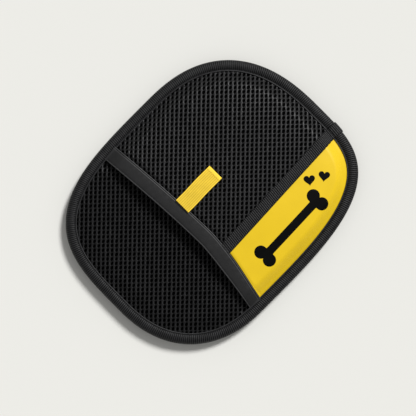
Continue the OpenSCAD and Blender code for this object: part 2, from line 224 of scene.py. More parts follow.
def seam_dip(x, y):
    """How far the seam at the opening band squeezes the padding down."""
    return 1.3 * (1 - smooth((y - band_tip_edge(x)) / 2.6))


def mesh_foot(x, y):
    return lining_z(x, y) + LINING_T + GAP / 2


def under_rim(x, y):
    """How far the rim presses the back panels down, which keeps them clear of its fold."""
    return 0.4 * (1 - smooth((edge_distance(x, y) - RIM_W - 0.2) / 2))


def mesh_z(x, y):
    thickness = mix(1.75, 3.2, padding(x, y))
    return mesh_foot(x, y) + thickness - seam_dip(x, y) - under_rim(x, y)


def label_z(x, y):
    return mesh_foot(x, y) + mix(1.7, 3.05, padding(x, y)) - 0.35 * seam_dip(x, y) - under_rim(x, y)


def back_z(x, y):
    return np.maximum(mesh_z(x, y), label_z(x, y))


# ---------------------------------------------------------------- making meshes
def make(name, points, faces, material, shade=True, attributes=None):
    """A mesh object. faces is a list of index arrays, one row per face."""
    points = np.asarray(points, float).reshape(-1, 3) * MM
    mesh = bpy.data.meshes.new(name)
    mesh.vertices.add(len(points))
    mesh.vertices.foreach_set("co", points.astype(np.float32).ravel())
    faces = [np.asarray(f, np.int64) for f in faces if len(f)]
    loops = np.concatenate([f.ravel() for f in faces])
    sizes = np.concatenate([np.full(len(f), f.shape[1]) for f in faces])
    mesh.loops.add(len(loops))
    mesh.loops.foreach_set("vertex_index", loops.astype(np.int32))
    mesh.polygons.add(len(sizes))
    mesh.polygons.foreach_set("loop_start", (np.cumsum(sizes) - sizes).astype(np.int32))
    mesh.polygons.foreach_set("loop_total", sizes.astype(np.int32))
    mesh.update(calc_edges=True)
    mesh.validate()
    mesh.polygons.foreach_set("use_smooth", [shade] * len(mesh.polygons))
    for key, values in (attributes or {}).items():
        attribute = mesh.attributes.new(key, "FLOAT", "POINT")
        attribute.data.foreach_set("value", np.asarray(values, np.float32).ravel())
    mesh.materials.append(material)
    piece = bpy.data.objects.new(name, mesh)
    bpy.context.scene.collection.objects.link(piece)
    return piece


def grid_faces(rows, cols, wrap_rows=False, wrap_cols=False):
    i, j = np.meshgrid(
        np.arange(rows if wrap_rows else rows - 1), np.arange(cols if wrap_cols else cols - 1), indexing="ij"
    )
    i, j = i.ravel(), j.ravel()
    k, m = (i + 1) % rows, (j + 1) % cols
    return np.stack([i * cols + j, i * cols + m, k * cols + m, k * cols + j], -1)


def sweep(name, rings, material, closed=False, **options):
    """A solid from rings[i][j], where each ring is a closed loop of points. Its ends are capped unless it is
    closed."""
    rows, cols = rings.shape[:2]
    faces = [grid_faces(rows, cols, closed, True)]
    if not closed:
        faces += [np.arange(cols)[None], (rows - 1) * cols + np.arange(cols)[None, ::-1]]
    return make(name, rings, faces, material, **options)


def thick_sheet(name, top, bottom, material, **options):
    """A closed sheet between two grids of points of one shape."""
    rings = np.concatenate([top, bottom[:, ::-1]], axis=1)
    return sweep(name, rings[:, ::-1], material, **options)


def smoother(piece, levels=1):
    modifier = piece.modifiers.new("subdivision", "SUBSURF")
    modifier.levels = modifier.render_levels = levels
    return piece


def settle(piece, body="mitt", nodes=()):
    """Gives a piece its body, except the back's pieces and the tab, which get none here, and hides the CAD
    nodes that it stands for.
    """
    if body == "back":
        bend_with_back(piece)
    elif body != "tab":
        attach(piece, body)
    if nodes:
        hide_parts(*nodes)
    return piece


def points_of(piece):
    co = np.zeros(len(piece.data.vertices) * 3, np.float32)
    piece.data.vertices.foreach_get("co", co)
    return co.reshape(-1, 3) / MM


def bend_with_back(piece):
    """Bakes the piece's place into its mesh and reads its points; nothing here bends the back or gives it a
    body.
    """
    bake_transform(piece)
    co = points_of(piece)


def lifted(xy, height):
    return np.concatenate([xy, np.broadcast_to(height, xy.shape[:-1])[..., None]], -1)


# ---------------------------------------------------------------- materials
def node(tree, kind, inputs=None, **settings):
    made = tree.nodes.new(kind)
    for key, value in settings.items():
        setattr(made, key, value)
    for key, value in (inputs or {}).items():
        if hasattr(value, "is_output"):
            tree.links.new(value, made.inputs[key])
        else:
            made.inputs[key].default_value = value
    return made


def cloth_material(name, colour, roughness, light=1.35, dark=0.7, mottle=180.0, weave=None, painted_light=None,
                   grain=2600.0, grain_height=0.00006, specular=0.5):
    """A procedural finish. colour is varied by noise between dark and light times itself, and by the mesh's
    painted light attribute, if it has one, between low and high: painted shade in its low places and painted
    highlight on its high places, with the specular scaled the same way. weave is (scale, height, direction)."""
    material = bpy.data.materials.new(name)
    material.use_nodes = True
    tree = material.node_tree
    shader = tree.nodes["Principled BSDF"]
    shader.inputs["Roughness"].default_value = roughness
    shader.inputs["Specular IOR Level"].default_value = specular
    place = node(tree, "ShaderNodeTexCoord").outputs["Object"]
    mottled = node(tree, "ShaderNodeTexNoise", {"Vector": place, "Scale": mottle, "Detail": 4.0})
    ramp = node(tree, "ShaderNodeValToRGB", {"Fac": mottled.outputs["Fac"]})
    ramp.color_ramp.elements[0].position = 0.3
    ramp.color_ramp.elements[1].position = 0.7
    ramp.color_ramp.elements[0].color = (*[c * dark for c in colour], 1)
    ramp.color_ramp.elements[1].color = (*[min(1, c * light) for c in colour], 1)
    result = ramp.outputs["Color"]
    # Painted light: the attribute darkens the colour and the specular as painted shade and brightens them as
    # painted highlight
    if painted_light:
        low, high = painted_light
        height = node(tree, "ShaderNodeAttribute", attribute_name="painted_light").outputs["Fac"]
        scale = node(tree, "ShaderNodeMapRange", {"Value": height, "To Min": low, "To Max": high})
        result = node(tree, "ShaderNodeVectorMath", {0: result, 1: scale.outputs["Result"]},
                      operation="MULTIPLY").outputs["Vector"]
        shine = node(tree, "ShaderNodeMath", {0: scale.outputs["Result"], 1: specular}, operation="MULTIPLY")
        tree.links.new(shine.outputs["Value"], shader.inputs["Specular IOR Level"])
    tree.links.new(result, shader.inputs["Base Color"])
    fine = node(tree, "ShaderNodeTexNoise", {"Vector": place, "Scale": grain, "Detail": 3.0})
    bump = node(tree, "ShaderNodeBump",
                {"Height": fine.outputs["Fac"], "Strength": 0.8, "Distance": grain_height})
    for scale, height, direction in weave or []:
        wave = node(tree, "ShaderNodeTexWave",
                    {"Vector": place, "Scale": scale, "Distortion": 1.2, "Detail": 1.0, "Detail Scale": 2.0},
                    bands_direction=direction)
        bump = node(tree, "ShaderNodeBump",
                    {"Height": wave.outputs["Fac"], "Strength": 0.7, "Distance": height,
                     "Normal": bump.outputs["Normal"]})
    tree.links.new(bump.outputs["Normal"], shader.inputs["Normal"])
    return material


# Each range given below for the painted light attribute runs from painted shade in low places to painted
# highlight on high ones
MESH_KNIT = cloth_material(
    "spacer_mesh_knit", (0.0115, 0.0115, 0.012), 0.42, painted_light=(0.05, 2.3), specular=0.26,
    grain=3200, grain_height=0.00008)
# A darker copy of the spacer mesh knit: painted shade for the palm mesh, which lies low under the back panels
# and the band
MESH_KNIT_SHADED = cloth_material(
    "palm_mesh_knit_painted_shade", (0.0075, 0.0075, 0.0079), 0.46, painted_light=(0.05, 2.0), specular=0.2,
    grain=3200, grain_height=0.00008)
RIBBED = cloth_material(
    "ribbed_grosgrain", (0.0082, 0.0082, 0.0086), 0.45, painted_light=(0.15, 2.3), specular=0.15,
    weave=[(1100, 0.00003, "X"), (1100, 0.00003, "Y")])
BAND = cloth_material(
    "smooth_stretch_tape", (0.009, 0.009, 0.0092), 0.55, painted_light=(0.3, 5.0), light=1.12, dark=0.9,
    specular=0.13, weave=[(900, 0.00002, "X"), (900, 0.00002, "Y")])
LINING = cloth_material(
    "lining_cloth", (0.007, 0.007, 0.008), 0.5, specular=0.25, weave=[(900, 0.00003, "X")])
LABEL = cloth_material(
    "label_satin_face", (0.81, 0.55, 0.012), 0.42, light=1.03, dark=0.97, mottle=55, specular=0.3,
    weave=[(1500, 0.000012, "DIAGONAL")], grain=1800, grain_height=0.00003)
INK = cloth_material("printed_ink", (0.0012, 0.0012, 0.0012), 0.5, specular=0.08, grain_height=0.00002)
TAB_YELLOW = (0.9, 0.615, 0.045)
WEBBING = cloth_material(
    "tab_webbing_weave", TAB_YELLOW, 0.6, painted_light=(0.76, 1.2), light=1.05, dark=0.94, specular=0.25,
    weave=[(1200, 0.00002, "Y")])
TWIST = [(1600, 0.00005, "DIAGONAL")]
TAB_THREAD = cloth_material("tab_sewing_thread", TAB_YELLOW, 0.5, weave=TWIST)
THREAD = cloth_material("sewing_thread", (0.013, 0.013, 0.0135), 0.5, specular=0.2, weave=TWIST)
BAND_THREAD = cloth_material("band_sewing_thread", (0.032, 0.032, 0.033), 0.5, specular=0.25, weave=TWIST)
PALM_WEAVE = cloth_material(
    "palm_fabric_weave", (0.011, 0.0112, 0.012), 0.6, specular=0.25,
    weave=[(750, 0.00012, "X"), (750, 0.00012, "Y")])
RUBBER = cloth_material(
    "soft_moulded_rubber", (0.020, 0.0215, 0.024), 0.48, light=1.12, dark=0.9, mottle=90, specular=0.35,
    grain=900, grain_height=0.00004)
FOAM = cloth_material("open_cell_foam", (0.5, 0.48, 0.42), 0.85, grain=900, grain_height=0.0004)
ELASTIC = cloth_material("knitted_elastic", (0.7, 0.68, 0.62), 0.6, weave=[(700, 0.0001, "X")])


# ---------------------------------------------------------------- spacer mesh with its oval holes
HOLE_DX, HOLE_DY = 2.48, 5.13
RING = 8  # points on each ring round a hole
HOLE_TILT = math.radians(17)
HOLE_A, HOLE_B = 0.84, 1.42
LIP, WALL, FLOOR = 1.2, 1.0, 0.92  # sizes of a hole's ovals, from its rim down
CORD_RISE = 0.35
MESH_IN = 5.2  # the knit's middles of holes start this far inside the outline
HEEL_PART_Y = -12.0  # the palm mesh is finer from here to the heel, where it is seen
CORD_ROUND = 0.5  # how far out of the net a cord keeps its height, as a share of the way to the lip


def hole_net(wanted, top, foot, seed):
    """A spacer fabric: a closed sheet with a deep oval dimple in each diamond of its net. wanted(x, y) picks
    the diamonds by their middles, and top and foot give the sheet's upper and lower sides."""
    i, j = np.meshgrid(np.arange(-42, 43), np.arange(-26, 27), indexing="ij")
    centres = np.stack([i * HOLE_DX, j * HOLE_DY + (i % 2) * HOLE_DY / 2], -1).reshape(-1, 2)
    centres = centres[wanted(centres[:, 0], centres[:, 1])]
    count = len(centres)
    corner = np.array([[HOLE_DX, 0], [0, HOLE_DY / 2], [-HOLE_DX, 0], [0, -HOLE_DY / 2]])
    frame_ring = np.stack([corner, (corner + np.roll(corner, -1, 0)) / 2], 1).reshape(RING, 2)
    key = np.rint((centres[:, None] + frame_ring) * 100).astype(np.int64)
    unique, shared = np.unique(key.reshape(-1, 2), axis=0, return_inverse=True)
    shared = shared.reshape(count, RING)
    rng = np.random.default_rng(seed)
    knot = np.zeros(len(unique))
    knot[shared[:, ::2].ravel()] = 1
    net = unique / 100 + rng.normal(0, 0.09, (len(unique), 2))
    # The cords along one diagonal of the net lie over those along the other
    over = np.zeros(len(unique))
    over[shared[:, 1::4].ravel()] = 1
    over[shared[:, 3::4].ravel()] = -1
    rise = CORD_RISE * (0.5 * knot + 0.5 + 0.6 * over) + rng.normal(0, 0.03, len(unique))
    net_top = lifted(net, top(net[:, 0], net[:, 1]) + rise - CORD_RISE)

    angle = np.arctan2(frame_ring[:, 1], frame_ring[:, 0])
    size = 1 + rng.normal(0, 0.045, (count, 1))
    tilt = HOLE_TILT + rng.normal(0, 0.07, (count, 1))
    shift = rng.normal(0, 0.06, (count, 1, 2))

    def oval(scale):
        u = HOLE_A * size * scale * np.cos(angle)
        v = HOLE_B * size * scale * np.sin(angle)
        turned = np.stack([u * np.cos(tilt) - v * np.sin(tilt), u * np.sin(tilt) + v * np.cos(tilt)], -1)
        return centres[:, None] + shift + turned

    lip, wall, floor = oval(LIP), oval(WALL), oval(FLOOR)
    shoulder = mix(net[shared], lip, CORD_ROUND)
    shoulder_rise = rise[shared] - CORD_RISE - 0.05
    shoulder = lifted(shoulder, top(shoulder[..., 0], shoulder[..., 1]) + shoulder_rise)
    lip = lifted(lip, top(lip[..., 0], lip[..., 1]) - CORD_RISE - 0.18)
    wall = lifted(wall, top(wall[..., 0], wall[..., 1]) - CORD_RISE - 0.8)
    floor = lifted(floor, np.maximum(
        top(floor[..., 0], floor[..., 1]) - 2.0, foot(floor[..., 0], floor[..., 1]) + 0.25))

    start = len(net_top)
    shoulder_at = start + np.arange(count * RING).reshape(count, RING)
    lip_at, wall_at, floor_at = (shoulder_at + k * count * RING for k in (1, 2, 3))
    under = start + 4 * count * RING
    corners = np.unique(shared[:, ::2])
    under_of = np.full(len(unique), -1)
    under_of[corners] = under + np.arange(len(corners))
    under_points = lifted(net[corners], foot(net[corners, 0], net[corners, 1]))

    def band(a, b):
        n = (np.arange(RING) + 1) % RING
        return np.stack([a, a[:, n], b[:, n], b], -1).reshape(-1, 4)

    faces = [band(shared, shoulder_at), band(shoulder_at, lip_at), band(lip_at, wall_at),
             band(wall_at, floor_at), floor_at, under_of[shared[:, ::2]][:, ::-1]]
    # The sheet's cut edge: each side of a diamond that no other diamond shares gets a wall
    sides = np.stack([shared[:, 0::2], shared[:, 1::2], np.roll(shared[:, 0::2], -1, 1)], -1).reshape(-1, 3)
    _, first, times = np.unique(sides[:, 1], return_index=True, return_counts=True)
    cut = sides[first[times == 1]]
    faces.append(np.stack([cut[:, 2], cut[:, 1], cut[:, 0], under_of[cut[:, 0]], under_of[cut[:, 2]]], -1))

    rings = [ring.reshape(-1, 3) for ring in (shoulder, lip, wall, floor)]
    points = np.concatenate([net_top, *rings, under_points])
    # Painted light: the cords lying over are painted lighter, the cords beneath them darker, the walls darker
    # still and the hole floors near black, as painted highlight on the cords and painted shade in the holes
    painted_shading = 0.5 + 0.3 * over - 0.05 * knot
    painted_light = np.concatenate([painted_shading, painted_shading[shared].ravel(), 0.5 * painted_shading[shared].ravel() + 0.1,
                            np.full(count * RING, 0.03), np.zeros(count * RING + len(corners))])
    return points, faces, painted_light


def spacer_mesh(name, wanted, top, foot, material, seed, fine=True):
    points, faces, painted_light = hole_net(wanted, top, foot, seed)
    piece = make(name, points, faces, material, attributes={"painted_light": painted_light})
    return smoother(piece) if fine else piece


def seam_at(y):
    """Place across the mitt of the middle of the seam under the tape."""
    foot, head = np.array([SEAM_X, float(band_tip_edge(SEAM_X))]), inset(SEAM_T, EDGE_IN)
    return foot[0] + (head[0] - foot[0]) * (y - foot[1]) / (head[1] - foot[1])


def make_mesh_panels():
    def inside(x, y):
        return edge_distance(x, y) > MESH_IN

    back = spacer_mesh(
        "back_spacer_mesh",
        lambda x, y: inside(x, y) & (x < seam_at(y) + 0.5) & (y > band_tip_edge(x) - 1.6),
        mesh_z, mesh_foot, MESH_KNIT, seed=3)
    settle(back, "back", ["back_mesh"])

    def foot(x, y):
        rise = (edge_distance(x, y) - SQUEEZE_FROM - 0.4) / (FOAM_IN - 1.2 - SQUEEZE_FROM)
        return mix(FABRIC_TOP, FOAM_TOP, np.clip(rise, 0, 1)) + GAP / 2

    heel = spacer_mesh(
        "palm_mesh_heel", lambda x, y: inside(x, y) & (y <= HEEL_PART_Y),
        palm_z, foot, MESH_KNIT_SHADED, seed=5)
    settle(heel, nodes=["palm_mesh"])
    inner = spacer_mesh(
        "palm_mesh_in_pocket", lambda x, y: inside(x, y) & (y > HEEL_PART_Y),
        palm_z, foot, MESH_KNIT_SHADED, seed=6, fine=False)
    settle(inner, nodes=["palm_mesh"])


# ---------------------------------------------------------------- back panels
RIM_LEFT_T, RIM_RIGHT_T = 203.0, 5.1
FIELD_SHARE = 0.72


def panel_grid(u, v):
    """Points of a back panel: straight lines from the mouth to the padding's edge, then straight to the rim.
    u is -1 at the left end of the mouth, 0 at the seam and 1 at the right end."""
    u = np.asarray(u)[:, None]
    v = np.asarray(v)[None]
    t = np.where(u < 0, mix(SEAM_T, RIM_LEFT_T, -u), mix(SEAM_T, RIM_RIGHT_T, u))
    ends = inset(np.array([RIM_LEFT_T, RIM_RIGHT_T]), np.full(2, SQUEEZE_TO))[:, 0]
    x = np.where(u < 0, mix(SEAM_X, ends[0], -u), mix(SEAM_X, ends[1], u))
    mouth = np.stack([x, band_tip_edge(x) + FREE], -1)
    slope = inset(t, np.full(t.shape, SQUEEZE_TO))
    field = mix(mouth, slope, np.minimum(1, v / FIELD_SHARE)[..., None])
    d = mix(SQUEEZE_TO, EDGE_IN, (v - FIELD_SHARE) / (1 - FIELD_SHARE))
    edge = inset(np.broadcast_to(t, (len(t), d.shape[1])), np.repeat(d, len(t), 0))
    last = np.abs(u) > 0.9999
    edge[..., 1] = np.where(last, band_tip_edge(edge[..., 0]) + FREE, edge[..., 1])
    grid = np.where((v < FIELD_SHARE)[..., None], field, edge)
    grid[..., 1] = np.maximum(grid[..., 1], band_tip_edge(grid[..., 0]) + FREE)
    return grid


def raised(xy, height):
    return lifted(xy, height(xy[..., 0], xy[..., 1]))


def puckers(x, y):
    """Small gathers along the rim and the tape, where the label is sewn."""
    d = edge_distance(x, y)
    along = np.degrees(np.arctan2(y - 10, x - 20))
    near_rim = np.exp(-np.maximum(0, d - SQUEEZE_FROM - 1) / 3.5)
    near_rim *= np.sin(along * 1.9 + 0.8 * np.sin(along * 0.31)) * smooth((d - RIM_W) / 2)
    near_tape = np.exp(-np.maximum(0, x - seam_at(y) - TAPE_W / 2) / 3.0)
    near_tape *= np.sin(y * 0.75 + 1.3 * np.sin(y * 0.11))
    return 0.1 * near_rim + 0.02 * near_tape


def make_back_panels():
    v = np.linspace(0, 1, 90) ** 0.9
    lining_uv = panel_grid(np.linspace(-1, 1, 110), v)
    lining = thick_sheet("pocket_lining", raised(lining_uv, lambda x, y: lining_z(x, y) + LINING_T),
                         raised(lining_uv, lining_z), LINING)
    settle(lining, "back", ["back_lining"])

    label_uv = panel_grid(np.linspace(0, 1, 70), np.linspace(0, 1, 150))
    face = thick_sheet("label_face", raised(label_uv, lambda x, y: label_z(x, y) + puckers(x, y)),
                       raised(label_uv, lambda x, y: label_z(x, y) - 0.55), LABEL)
    settle(face, "back", ["label_panel"])
    pad = thick_sheet("label_padding", raised(label_uv, lambda x, y: label_z(x, y) - 0.62),
                      raised(label_uv, mesh_foot), FOAM)
    settle(pad, "back", ["label_foam"])


# ---------------------------------------------------------------- printed marks on the label
def arc(centre, radius, start, stop, count=40):
    a = np.radians(np.linspace(start, stop, count))
    return np.stack([centre[0] + radius * np.cos(a), centre[1] + radius * np.sin(a)], -1)


def bone_grid(cols=9, half_l=36.0, lobe=5.3, spread=4.7, shaft=3.4):
    """Points over a bone that lies along Y, with two round lobes at each end. Its rows run from the left edge
    to the bone's middle line, and on to the right edge."""
    reach = half_l - lobe
    turn = np.linspace(256, 511, 90)
    round_end = arc((spread, reach), lobe, turn[0], turn[-1], len(turn))
    shaft_y = np.linspace(0, round_end[0, 1] - 1.2, 40)
    edge = np.concatenate([np.stack([np.full(len(shaft_y), shaft), shaft_y], -1), round_end])
    middle = np.concatenate([shaft_y, np.linspace(round_end[0, 1], round_end[-1, 1] - 0.15, len(turn))])
    for _ in range(3):
        edge[1:-1] = (edge[:-2] + 2 * edge[1:-1] + edge[2:]) / 4
    edge = np.concatenate([edge[:0:-1] * [1, -1], edge])
    middle = np.stack([np.zeros(len(edge)), np.concatenate([-middle[:0:-1], middle])], -1)
    share = np.linspace(0, 1, cols)[None, :, None]
    right = mix(middle[:, None], edge[:, None], share)
    return np.concatenate([right[:, :0:-1] * [-1, 1], right], axis=1)


def heart_grid(rows=14, cols=72, size=4.6):
    """Points over a heart, on rings round its middle."""
    a = np.linspace(0, 2 * np.pi, cols, endpoint=False)
    x = 16 * np.sin(a) ** 3
    y = 13 * np.cos(a) - 5 * np.cos(2 * a) - 2 * np.cos(3 * a) - np.cos(4 * a)
    edge = np.stack([x, y + 2], -1) * size / 16
    return np.linspace(1, 0.03, rows)[:, None, None] * edge[None]


INK_UP, INK_DOWN = 0.09, 0.05  # how far the ink stands above the label's face, and reaches into it


def make_marks():
    points, faces, count = [], [], 0
    for flat, place, turn, ringed in (
        (bone_grid(), (61.5, 29.5), 2, False),
        (heart_grid(), (45, 66.4), 52, True),
        (heart_grid(), (51, 77), 38, True),
    ):
        c, s = math.cos(math.radians(turn)), math.sin(math.radians(turn))
        xy = flat @ np.array([[c, s], [-s, c]]) + place
        z = label_z(xy[..., 0], xy[..., 1]) + puckers(xy[..., 0], xy[..., 1])
        rows, cols = z.shape
        if ringed:
            rings = np.concatenate([lifted(xy, z + INK_UP)[::-1], lifted(xy, z - INK_DOWN)])
            shell = grid_faces(2 * rows, cols, False, True)
            caps = [np.arange(cols)[None, ::-1], (2 * rows - 1) * cols + np.arange(cols)[None]]
        else:
            rings = np.concatenate([lifted(xy, z + INK_UP), lifted(xy, z - INK_DOWN)[:, ::-1]], axis=1)
            shell = grid_faces(rows, 2 * cols, False, True)
            caps = [np.arange(2 * cols)[None, ::-1], (rows - 1) * 2 * cols + np.arange(2 * cols)[None]]
        faces += [f + count for f in (shell, *caps)]
        points.append(rings.reshape(-1, 3))
        count += rings.shape[0] * rings.shape[1]
    piece = make("label_marks", np.concatenate(points), faces, INK)
    settle(piece, "back", ["label_motif"])


# ---------------------------------------------------------------- ribbed tapes
ROLL_IN = 4.0  # lengths round the mitt are measured this far inside its outline


def length_along(path):
    return np.concatenate([[0], np.cumsum(np.linalg.norm(np.diff(path, axis=0), axis=1))])


def perimeter(step_count):
    """Directions round the outline at equal steps of length, and the length so far."""
    t = np.linspace(0, 360, 7201)
    run = length_along(inset(t, np.full(t.shape, ROLL_IN)))
    at = np.arange(step_count) / step_count * run[-1]
    return np.interp(at, run, t), at, run[-1]


def rim_profile():
    """The binding's section: distance from the edge, height over its middle, how strongly it is ribbed."""
    roll = [(7.5, 2.84, 0.2), (7.25, 3.05, 0.6), (6.8, 3.3, 0.9), (6.1, 3.48, 1), (5.2, 3.56, 1),
            (4.3, 3.55, 1), (3.4, 3.42, 1), (2.5, 3.15, 1), (1.7, 2.7, 0.9), (0.95, 2.05, 0.6),
            (0.42, 1.3, 0.3), (0.12, 0.6, 0.15), (0.0, 0.0, 0.1)]
    fold = [(9.2, 2.72, 0), (9.26, 2.98, 0.1), (9.05, 3.24, 0.15), (8.65, 3.3, 0.15), (8.3, 3.14, 0.1),
            (8.1, 2.74, 0), (7.8, 2.66, 0)]
    upper = np.array(fold + roll)
    lower = upper[-2::-1] * [1, -1, 1]
    hollow = np.array([(8.9, -2.66, 0), (6.0, -2.66, 0), (2.4, -2.6, 0), (1.9, -1.8, 0),
                       (1.9, 1.8, 0), (2.4, 2.6, 0), (6.0, 2.66, 0), (8.9, 2.66, 0)])
    return np.concatenate([upper, lower, hollow])


def make_rim():
    """The binding's roll and fold, swept round the whole outline, with its ribs as real relief."""
    ribs = int(round(perimeter(10)[2] / RIB))
    t, at, _ = perimeter(ribs * RIB_STEPS)
    section = rim_profile()
    d, z, strength = section.T
    skew = 1.1 * np.sin(np.radians(t * 3 + 40)) + 0.5 * np.sin(np.radians(t * 7))
    phase = 2 * np.pi * np.arange(len(t)) / RIB_STEPS
    wave = np.cos(phase[:, None] + skew[:, None] * (d - 4) / 4)
    uneven = 1 + 0.35 * np.sin(at / 3.7)[:, None] * np.sin(at / 11.3 + 1)[:, None]
    push = RIM_RELIEF * wave * strength * uneven
    normal = np.gradient(np.stack([d, z], -1), axis=0)
    normal = np.stack([normal[:, 1], -normal[:, 0]], -1)
    normal /= np.maximum(1e-6, np.linalg.norm(normal, axis=1, keepdims=True))
    bulge = 0.10 * np.sin(at / 9.0) * np.sin(at / 31.0 + 0.5)
    rings_d = d + push * normal[:, 0]
    rings_z = z + push * normal[:, 1] + bulge[:, None] * (strength > 0.4)
    xy = inset(np.repeat(t[:, None], len(d), 1), rings_d)
    points = lifted(xy, RIM_MID + rings_z)
    # Painted light: the tops of the ribs are painted lighter and their troughs darker, the fold's bead is a
    # painted highlight and the groove beside it painted shade
    bead_highlight = np.where(np.abs(d - 8.75) < 0.6, 0.95, 0.0) * np.ones(wave.shape)
    painted_light = np.where((d < 7.6) | (z < 2.7), 0.5 + 0.5 * wave, bead_highlight)
    rim = sweep("rim_roll", points, RIBBED, closed=True, attributes={"painted_light": painted_light})
    settle(rim, nodes=["rim_binding"])


ON_RIM = slice(4, 31)  # the points of the rim's section that the seam tape covers


def make_seam_tape():
    """It lies on the seam from the band to the tip, goes up over the rim and ends on the palm side."""
    foot = np.array([SEAM_X, float(band_tip_edge(SEAM_X)) + GAP])
    head = inset(SEAM_T, RIM_W + 2.0)
    side = np.array([-(head - foot)[1], (head - foot)[0]]) / np.linalg.norm(head - foot)
    w = np.linspace(1, -1, 15)
    columns = SEAM_T + w * TAPE_TURN
    flat = np.linspace(0, 1, 90)
    rim_turn = np.linspace(0, 1, 40)
    profile = rim_profile()[ON_RIM]
    over = np.stack([np.interp(rim_turn, np.linspace(0, 1, len(profile)), profile[:, k]) for k in (0, 1)], -1)
    stations = []
    for share in flat:
        base = foot[None] + w[:, None] * TAPE_W / 2 * side
        base = np.stack([base[:, 0], band_tip_edge(base[:, 0]) + GAP], -1)
        end = inset(columns, np.full(w.shape, RIM_W + 1.4))
        xy = mix(base, end, share)
        stations.append((xy, back_z(xy[:, 0], xy[:, 1]) + TAPE_CLEAR))
    for d, z in over:
        reach = max(0.0, 1 - max(0, d - 1) / 6)
        d_out = d - 0.3 * (1 - min(1, d / 3.6))
        xy = inset(columns, np.full(w.shape, d_out))
        stations.append((xy, np.full(w.shape, RIM_MID + z + math.copysign(0.2 + 0.1 * reach, z))))
    path = np.array([lifted(xy, z) for xy, z in stations])
    # Even steps along the path, RIB_STEPS to a rib
    mid = path[:, len(w) // 2]
    run = length_along(mid)
    steps = int(run[-1] / RIB * RIB_STEPS)
    at = np.linspace(0, run[-1], steps)
    even = np.empty((steps, len(w), 3))
    for k in range(len(w)):
        for axis in range(3):
            even[:, k, axis] = np.interp(at, run, path[:, k, axis])
    for _ in range(6):
        even[1:-1] = (even[:-2] + 2 * even[1:-1] + even[2:]) / 4
    along = np.gradient(even, axis=0)
    cross = np.gradient(even, axis=1)
    normal = np.cross(along, cross)
    normal /= np.linalg.norm(normal, axis=-1, keepdims=True)
    normal *= np.sign(normal[2:3, :, 2:3])
    wave = np.cos(2 * np.pi * at / RIB)[:, None] * np.ones(len(w))
    edge = np.clip((1 - np.abs(w)) / 0.12, 0, 1) ** 0.5
    thick = TAPE_EDGE_T + (TAPE_T - TAPE_EDGE_T) * edge
    top = even + normal * (thick + TAPE_RELIEF * wave * edge)[..., None]
    # Painted light: the tops of the tape's ribs are painted lighter and their troughs darker, and its
    # underside is painted dark as shade
    painted_light = np.concatenate([0.5 + 0.5 * wave, np.zeros(wave.shape)], axis=1)[:, ::-1]
    tape = thick_sheet("seam_tape_ribbed", top, even, RIBBED, attributes={"painted_light": painted_light})
    settle(tape, "back", ["seam_tape"])


# ---------------------------------------------------------------- opening band
def band_frame(s):
    """The place across and the section's slant at s along the band: 0 at its left end, 1 at its right."""
    left, right = inset(np.array(BAND_ENDS_T), np.full(2, BAND_END_IN))
    return mix(left[0], right[0], s), mix(*BAND_SLANT, s)


def band_foot(x):
    y = band_mid(x)
    return lining_z(x, y) + BAND_RISE * smooth((edge_distance(x, y) - SQUEEZE_FROM) / 12)


def band_surface(s, y, z):
    x, slant = band_frame(s)
    return np.stack(np.broadcast_arrays(x + slant * y, band_mid(x) + y, band_foot(x) + z), -1)


def make_band():
    s = np.linspace(0, 1, 260)[:, None]
    x, _ = band_frame(s)
    half = band_half(x)
    # From the tip edge over the top to the wrist edge: (place from -1 to 1, shift, height, painted light:
    # painted highlight on the ridges, painted shade in the grooves and underneath)
    profile = np.array([
        (1, 0.0, 1.2, 0.2), (1, 0.0, 2.35, 0.6), (1, -0.12, 2.66, 1.0), (1, -0.38, 2.78, 1.0),
        (1, -0.66, 2.68, 0.5), (1, -0.95, 2.46, 0.1), (1, -1.3, 2.5, 0.15), (1, -1.6, 2.72, 0.7),
        (1, -1.85, 2.76, 0.75), (1, -2.2, 2.7, 0.35), (1, -3.2, 2.74, 0.3), (0.4, 0, 2.8, 0.3),
        (0.1, 0, 2.82, 0.3), (-0.25, 0, 2.8, 0.3), (-0.6, 0, 2.72, 0.3), (-1, 1.5, 2.6, 0.25),
        (-1, 1.15, 2.5, 0.15), (-1, 0.8, 2.56, 0.5), (-1, 0.5, 2.6, 0.9), (-1, 0.22, 2.45, 1.0),
        (-1, 0.05, 2.1, 0.8), (-1, -0.06, 1.5, 0.35), (-1, 0.02, 0.8, 0.15), (-1, 0.3, 0.25, 0.05),
        (-1, 0.9, 0.02, 0), (-0.3, 0, 0.0, 0), (0.5, 0, 0.0, 0), (1, -0.8, 0.05, 0), (1, -0.1, 0.35, 0),
    ])
    place, shift, height, painted_light = profile.T
    pucker = 0.06 * np.sin(x * 1.05 + 1.4 * np.sin(x * 0.13)) * np.exp(-((np.abs(place) - 1) / 0.35) ** 2)
    sway = 0.12 * np.sin(x * 0.11 + 0.7) * (height > 1)
    rings = band_surface(s, place * half + shift, height + pucker + sway)
    shade = np.broadcast_to(painted_light, rings.shape[:2])
    band = sweep("opening_band_tape", rings[:, ::-1], BAND, attributes={"painted_light": shade[:, ::-1]})
    settle(band, "back", ["opening_band"])

    y = np.stack([half - 0.9, half * 0.3, -half * 0.3, 1.9 - half], 1)[..., 0]
    top = band_surface(s, y, 1.9)
    core = thick_sheet("band_elastic_strip", top[:, ::-1], band_surface(s, y, 0.85)[:, ::-1], ELASTIC)
    settle(core, "back", ["opening_elastic"])


# ---------------------------------------------------------------- pull tab
hinge = next(j for j in frame["joints"] if j["name"] == "tab_flip")
HINGE_Y, HINGE_Z = hinge["pos_m"][1] / MM, hinge["pos_m"][2] / MM


